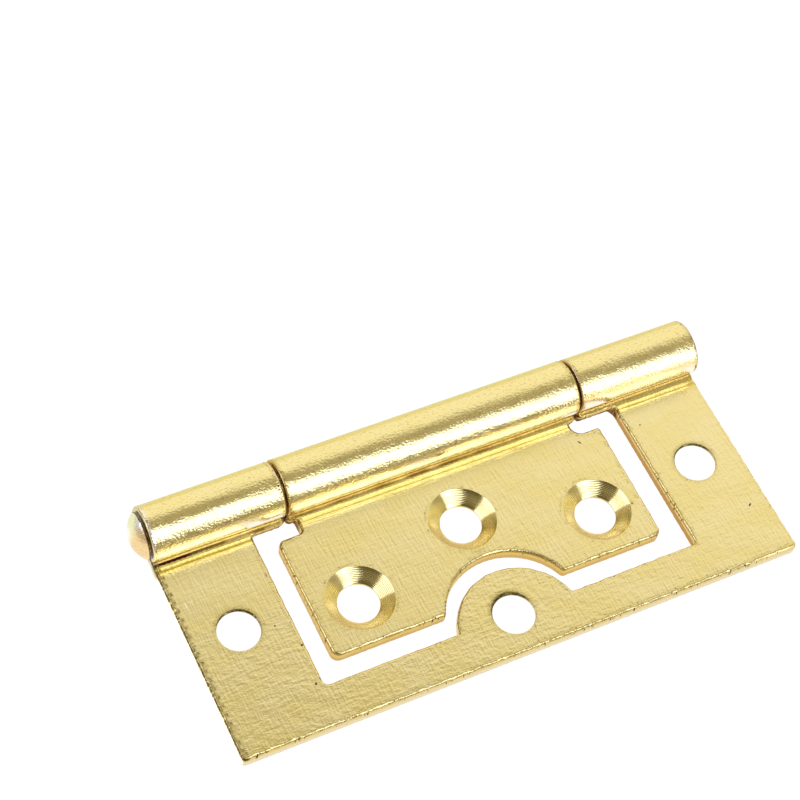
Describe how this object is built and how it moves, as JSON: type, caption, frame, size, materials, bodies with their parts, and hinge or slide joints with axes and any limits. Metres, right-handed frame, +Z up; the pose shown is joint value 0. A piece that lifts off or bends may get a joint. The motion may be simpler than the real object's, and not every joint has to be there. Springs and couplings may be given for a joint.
{
  "type": "flush hinge",
  "caption": "Brassed steel flush hinge: the inner leaf nests in the outer leaf's window, and the leaves, rolled into knuckles, turn on a headed pin. Countersunk screw holes.",
  "frame": {"origin": "on the underside of the inner leaf, its bearing face, midway between its two end screw holes", "axes": "+X along the pin, away from its head; +Y from the front edge to the barrel; +Z up out of the closed hinge, the side that the barrel stands proud of"},
  "size_m": [0.0614, 0.027, 0.0061],
  "materials": {
    "outer_leaf_brass": "electro-brassed steel sheet: satin flats, bright rolled knuckles, darker sheared edges",
    "inner_leaf_brass": "electro-brassed steel sheet: brushed flat, bright rolled knuckle and turned countersinks",
    "pin_brass": "electro-brassed steel wire with a bright domed head"
  },
  "bodies": {
    "fixed_leaf": {"outer_leaf": "outer_leaf_brass", "hinge_pin": "pin_brass"},
    "swinging_leaf": {"inner_leaf": "inner_leaf_brass"}
  },
  "joints": [
    {"name": "leaf_hinge", "type": "hinge", "parent": "fixed_leaf", "child": "swinging_leaf", "pos_m": [0, 0.01301, 0.00318], "axis": [-1, 0, 0], "continuous": true}
  ]
}
